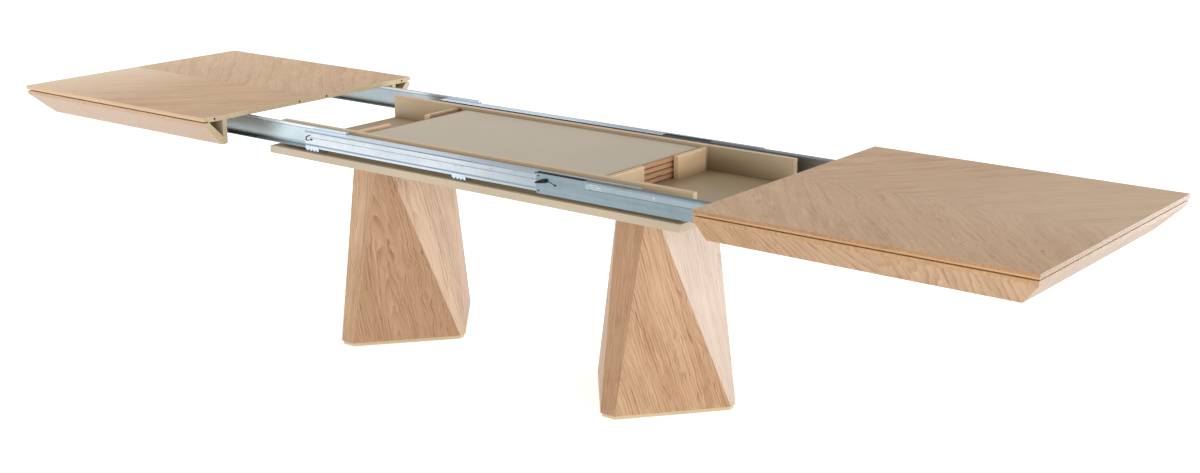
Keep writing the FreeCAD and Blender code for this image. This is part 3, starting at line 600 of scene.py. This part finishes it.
def rail_light_shade(k, c):
    """Painted light and shade on the fixed rail: a painted blue-white reflection on the upward lips, painted shade in
    the low groove, a fine dark line, a painted shade line under the brow, and painted shade on the undersides.
    """
    lip_sheen = k.nz.step(0.5, 0.8)
    c = k.mix(lip_sheen * 0.75, c, k.mix(k.x.step(-0.25, 0.22), lin(198, 216, 232), lin(150, 172, 188)))
    # painted shade in the low groove
    g = k.z.step(0.6935, 0.6945) * k.z.step(0.6980, 0.6990, 1.0, 0.0)
    c = k.mix(g * 0.8, c, lin(92, 120, 148))
    fine = k.z.step(0.7206, 0.7211) * k.z.step(0.7228, 0.7233, 1.0, 0.0)
    c = k.mix(fine * 0.55, c, lin(110, 124, 138))
    # painted shade line under the brow
    brow_shade = k.z.step(0.7364, 0.7374) * (1.0 - lip_sheen) * k.ny.lt(-0.2)
    c = k.mix(brow_shade * k.x.step(-0.45, 0.10, 0.72, 0.95), c, lin(92, 106, 118))
    # painted shade on the undersides
    under = k.nz.step(-0.8, -0.5, 1.0, 0.0)
    c = k.mix(under * 0.4, c, lin(120, 132, 140))
    # painted shade: duller and darker towards the right, where the outer plate runs over it
    return k.mix(k.x.step(-0.10, 0.34, 0.0, 0.74), c, lin(144, 154, 162))


def web_light_shade(k, c):
    """Left-hand channel with painted light and shade: the back one a little darker, the far part duller with painted
    shade under the top board, a painted shadow line under the lip, a painted highlight on the lip, painted shade on
    the foot and flange tops, and a near-black painted shadow right under the board's edge.
    """
    c = k.mix(k.y.gt(0.0) * 0.36, c, lin(140, 156, 166))
    # painted shade: the far part lies under the top board
    far_shade = k.x.step(-0.93, -0.80, 1.0, 0.0)
    c = k.mix(far_shade * 0.26, c, lin(128, 136, 134))
    # painted shadow line under the lip
    line = k.z.step(0.7362, 0.7372) * k.z.step(0.7396, 0.7404, 1.0, 0.0)
    c = k.mix(line * 0.6, c, lin(100, 112, 120))
    c = k.mix(k.x.step(-0.86, -0.74) * 0.24, c, lin(146, 160, 168))
    # painted highlight along the lip
    c = k.mix(k.z.gt(0.7425) * 0.5, c, lin(236, 242, 246))
    # painted shade on the foot
    foot = k.z.step(0.6796, 0.6822, 1.0, 0.0)
    c = k.mix(foot * 0.75, c, lin(60, 84, 92))
    # painted shade on the flange tops
    c = k.mix(k.nz.step(0.5, 0.8) * 0.66, c, lin(146, 157, 162))
    # painted shadow on the flange right under the edge of the top board
    return k.mix(k.nz.step(0.5, 0.8) * k.x.step(-0.955, -0.935, 0.92, 0.0) * k.y.lt(0.0), c, lin(32, 33, 32))


def plate_light_shade(k, c):
    """Grey plate: brushed lengthwise, with a painted highlight on the raised band, whiter and mottled at its start,
    and a painted shadow line below it.
    """
    # painted highlight on the raised band, whiter and mottled at its start
    raised = k.z.step(0.7225, 0.7235) * k.z.step(0.7395, 0.7405, 1.0, 0.0)
    c = k.mix(raised * k.x.gt(0.5172) * 0.22, c, lin(190, 202, 208))
    mott = k.noise(k.vec(k.x * 90.0, k.y, k.z * 170.0), 1.0, 3.0, 0.7).step(0.42, 0.66)
    start = k.x.step(0.535, 0.62, 1.0, 0.0) * k.x.gt(0.5172) * raised
    c = k.mix(start * mott * 0.45, c, lin(228, 236, 240))
    # painted shadow line below the raised band
    below_shadow = k.z.step(0.7198, 0.7206) * k.z.step(0.7224, 0.7230, 1.0, 0.0) * k.x.gt(0.5165)
    c = k.mix(below_shadow * 0.6, c, lin(74, 84, 90))
    # the folded lip over the glides is darker on its upward face
    # painted shade: at the back, the stretch beside the box is painted brown, as the shade of the box around it
    c = k.mix(k.y.gt(0.0) * k.z.lt(0.7405) * k.x.step(0.86, 1.04, 0.85, 0.15) * k.x.gt(0.80), c, lin(112, 108, 94))
    fold = k.nz.step(0.5, 0.8) * k.x.gt(0.0)
    back_fade = 1.0 - k.y.gt(0.0) * k.x.step(0.66, 0.72, 0.0, 0.55)     # lighter at the back
    return k.mix(fold * k.x.step(0.66, 0.72, 0.84, 0.70) * back_fade, c, lin(40, 48, 52))


BOX_LACQUER = {
    "base_plate": lacquer("plate_lacquer", part="plate"),
    "left_plinth": lacquer("plinth_lacquer", (200, 182, 148), 3.0),
}
BOX_LACQUER["right_plinth"] = BOX_LACQUER["left_plinth"]
BOX_LACQUER["front_box_wall"] = lacquer("wall_lacquer", (185, 166, 138), 2.0, part="wall")
BOX_LACQUER["back_box_wall"] = BOX_LACQUER["front_box_wall"]
BOX_LACQUER["box_dividers"] = lacquer("divider_lacquer", (230, 200, 160), 4.0, part="wall")
M = {
    "beige_lacquer": lacquer("beige_lacquer"),
    "core_board": core_board(),
    "bearer_board": bearer_board(),
    "galvanised_steel": steel("galvanised_steel", (189, 196, 202), 0.34, 1.0, 0.5, 0.5, 0.9,
                              low=(161, 171, 180), high=(209, 216, 221), extra=rail_light_shade),
    "left_steel": steel("left_steel", (192, 206, 214), 0.32, 2.0, 0.4, 0.35, 0.92,
                        low=(160, 177, 186), high=(207, 220, 227), extra=web_light_shade),
    "right_steel": steel("right_steel", (132, 147, 154), 0.40, 3.0, 0.4, 0.55, 0.85, extra=plate_light_shade),
    "clip_steel": steel("clip_steel", (186, 200, 212), 0.28, 4.0, 0.6, 0.5),
    "black_nylon": nylon("black_nylon", (24, 33, 38)),
    "oiled_nylon": nylon("oiled_nylon", (20, 29, 34), 0.55, 3.0, 0.06),
    "black_lever": nylon("black_lever", (12, 17, 21), 0.5, 5.0, 0.16),
    "white_nylon": nylon("white_nylon", (226, 224, 216), 0.40, 2.0),
    "black_spring_steel": steel("black_spring_steel", (30, 32, 35), 0.34, 6.0, 0.2, 0.8, 0.6),
    "zinc_hardware": steel("zinc_hardware", (202, 206, 208), 0.26, 7.0, 0.2, 0.4),
    "felt": felt(),
    "beech_dowel": dowel(),
}
VENEER = {"left_top_board": top_board(-1), "right_top_board": top_board(1)}
for s, side in (("left", -1), ("right", 1)):
    VENEER[s + "_front_apron"] = apron(side, "x", "front")
    VENEER[s + "_back_apron"] = apron(side, "x", "back")
    VENEER[s + "_end_apron"] = apron(side, "y", "end")
PED = pedestal()
LEAF = {n: leaf_mat(n) for n in (1, 2, 3, 4)}


def choose(node):
    slot = SLOT[node]
    if node in VENEER:
        return VENEER[node]
    if node in BOX_LACQUER:
        return BOX_LACQUER[node]
    if slot == "oak_veneer":
        return PED
    if slot == "leaf_board":
        return LEAF[int(node.split("_")[1])]
    if slot == "grey_steel":
        return M["left_steel" if node.startswith("left") else "right_steel"]
    if node in ("right_glide_pads", "front_latch_lever", "back_latch_lever"):
        return M["oiled_nylon" if node == "right_glide_pads" else "black_lever"]
    if node == "rail_clips":
        return M["clip_steel"]
    return M[slot]


for name, o in NODES.items():
    o.data.materials.clear()
    o.data.materials.append(choose(name))


# ------------------------------------------------------------------ pieces with eased arrises
def mesh_piece(name, bm, body, mat, replaced):
    me = bpy.data.meshes.new(name)
    bm.to_mesh(me)
    bm.free()
    me.materials.append(mat)
    o = bpy.data.objects.new(name, me)
    sc.collection.objects.link(o)
    w = o.modifiers.new("shade", "WEIGHTED_NORMAL")
    w.weight = 90
    w.keep_sharp = True
    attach(o, body)
    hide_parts(*replaced)
    return o


def ease(bm, width, min_edge=0.004, angle=28.0, segments=2):
    """Bevels the convex arrises of a closed mesh, and leaves the small ones round the holes sharp."""
    bmesh.ops.dissolve_limit(bm, angle_limit=math.radians(0.05), verts=bm.verts, edges=bm.edges)
    picked = [e for e in bm.edges if len(e.link_faces) == 2 and e.is_convex
              and e.calc_face_angle(0.0) > math.radians(angle) and e.calc_length() > min_edge]
    bmesh.ops.bevel(bm, geom=picked, offset=width, offset_type="OFFSET", segments=segments, profile=0.5,
                    affect="EDGES", clamp_overlap=True, miter_outer="SHARP")
    bmesh.ops.remove_doubles(bm, verts=bm.verts, dist=0.000005)
    bmesh.ops.dissolve_degenerate(bm, dist=0.000005, edges=bm.edges)
    for f in bm.faces:
        f.smooth = True
    for e in bm.edges:
        e.smooth = not (len(e.link_faces) == 2 and e.calc_face_angle(0.0) > math.radians(50.0))


def remake(node, width, **how):
    """A new piece over a CAD node: its faces joined, and its long arrises eased."""
    o = NODES[node]
    bm = bmesh.new()
    bm.from_mesh(o.data)
    bmesh.ops.remove_doubles(bm, verts=bm.verts, dist=0.00002)
    ease(bm, width, **how)
    return mesh_piece(node + ".piece", bm, o["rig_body"], choose(node), [node])


def shell_ring(lo, hi, z, inset):
    """Ring where the eight facets between two rings, moved inwards, meet the level z."""
    lines = []
    c = sum(lo, Vector()) / 8.0
    for i in range(8):
        j = (i + 1) % 8
        n = (lo[j] - lo[i]).cross(hi[i] - lo[i]).normalized()
        if n.dot(c - lo[i]) < 0:
            n = -n
        lines.append((n.x, n.y, n.dot(lo[i]) + inset - n.z * z))
    out = []
    for i in range(8):
        (a, b, c1), (d, e, c2) = lines[i - 1], lines[i]
        det = a * e - b * d
        out.append(Vector(((c1 * e - b * c2) / det, (a * c2 - c1 * d) / det, z)))
    return out


def facet_shell(node, cx):
    """Eight-sided tapered pedestal: one closed shell, its facets meeting in crisp mitres."""
    def ring(hx, hy, tx, ty, z):
        return [Vector((cx + x, y, z)) for x, y in ((-tx, -hy), (tx, -hy), (hx, -ty), (hx, ty),
                                                    (tx, hy), (-tx, hy), (-hx, ty), (-hx, -ty))]
    z0, z1 = 0.015, 0.6465
    ty = 0.179 - (0.067 - 0.054) * (0.300 - 0.013) / (0.260 - 0.027)
    lo, hi = ring(0.260, 0.300, 0.027, 0.013, z0), ring(0.067, 0.179, 0.054, ty, z1)
    rings = [lo, hi, shell_ring(lo, hi, z1, 0.016), shell_ring(lo, hi, z0, 0.016)]
    bm = bmesh.new()
    vs = [[bm.verts.new(p) for p in r] for r in rings]
    for a in range(4):
        b = (a + 1) % 4
        for i in range(8):
            j = (i + 1) % 8
            bm.faces.new((vs[a][i], vs[a][j], vs[b][j], vs[b][i]))
    bmesh.ops.recalc_face_normals(bm, faces=bm.faces)
    ease(bm, 0.0006, 0.01, 8.0)
    return mesh_piece(node + ".piece", bm, NODES[node]["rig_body"], PED, [node])


facet_shell("left_pedestal_panels", -0.56)
facet_shell("right_pedestal_panels", 0.56)
EASE = {
    "left_top_board": 0.0008, "right_top_board": 0.0008,
    "left_front_apron": 0.0007, "left_back_apron": 0.0007, "left_end_apron": 0.0007,
    "right_front_apron": 0.0007, "right_back_apron": 0.0007, "right_end_apron": 0.0007,
    "base_plate": 0.0010, "left_plinth": 0.0010, "right_plinth": 0.0010,
    "front_box_wall": 0.0008, "back_box_wall": 0.0008, "box_dividers": 0.0006,
    "leaf_1": 0.0005, "leaf_2": 0.0005, "leaf_3": 0.0005, "leaf_4": 0.0005,
}
for node, width in EASE.items():
    remake(node, width)


# ------------------------------------------------------------------ studio
def floor_mat():
    k = Mat("floor", Specular_IOR_Level=0.0)
    n = k.noise(k.pos, 0.7, 2.0, 0.5)
    k.p.inputs["Emission Color"].default_value = (1.0, 1.0, 1.0, 1.0)
    k.p.inputs["Emission Strength"].default_value = 0.612
    return k.out(k.mix(n, (0.78, 0.78, 0.78), (0.80, 0.80, 0.80)), 0.9)


me = bpy.data.meshes.new("floor")
me.from_pydata([(-40, -40, 0), (40, -40, 0), (40, 40, 0), (-40, 40, 0)], [], [(0, 1, 2, 3)])
fl = bpy.data.objects.new("floor", me)
sc.collection.objects.link(fl)
me.materials.append(floor_mat())

w = bpy.data.worlds.new("studio")
sc.world = w
w.use_nodes = True
wt = w.node_tree
bg = wt.nodes["Background"]
bg.inputs[0].default_value = (1, 1, 1, 1)
wdir = wt.nodes.new("ShaderNodeTexCoord")
wsep = wt.nodes.new("ShaderNodeSeparateXYZ")
wt.links.new(wdir.outputs["Generated"], wsep.inputs[0])
wup = Val(wt, wsep.outputs[2]).max(0.0)
seen = Val(wt, wt.nodes.new("ShaderNodeLightPath").outputs["Is Camera Ray"])
room = wup.line(0.0, 1.0, 0.54, 0.78) + wup.step(0.10, 0.50, 0.31, 0.0)   # bright round the horizon
wt.links.new((seen * (1.0 - room) + room).s, bg.inputs[1])


def soft_box(name, at, to, size, energy, colour=(1, 1, 1)):
    l = bpy.data.lights.new(name, "AREA")
    l.shape = "RECTANGLE"
    l.size, l.size_y = size
    l.energy = energy
    l.color = colour
    o = bpy.data.objects.new(name, l)
    o.location = at
    o.rotation_euler = (Vector(to) - Vector(at)).to_track_quat("-Z", "Y").to_euler()
    sc.collection.objects.link(o)
    return o


soft_box("right_box", (4.6, -2.2, 1.1), (0.8, 0.0, 0.4), (1.5, 1.5), 62)
soft_box("rear_box", (3.6, 3.5, 0.95), (0.6, 0.0, 0.5), (2.2, 1.7), 84)
soft_box("left_box", (-3.0, -3.2, 1.2), (-1.0, 0.0, 0.5), (2.0, 1.5), 22)
soft_box("over_box", (-1.8, 0.8, 3.4), (-1.4, 0.0, 0.7), (2.4, 2.0), 36)

cam = bpy.data.cameras.new("cam")
cam.sensor_width = 36.0
cam.lens = 36.0 * 1755.2 / 1200.0
co = bpy.data.objects.new("cam", cam)
co.location = (3.606, -4.274, 1.9572)
co.rotation_euler = (math.radians(74.599), 0, math.radians(37.724))
sc.collection.objects.link(co)
sc.camera = co
sc.view_settings.view_transform = "Standard"
sc.view_settings.look = "None"
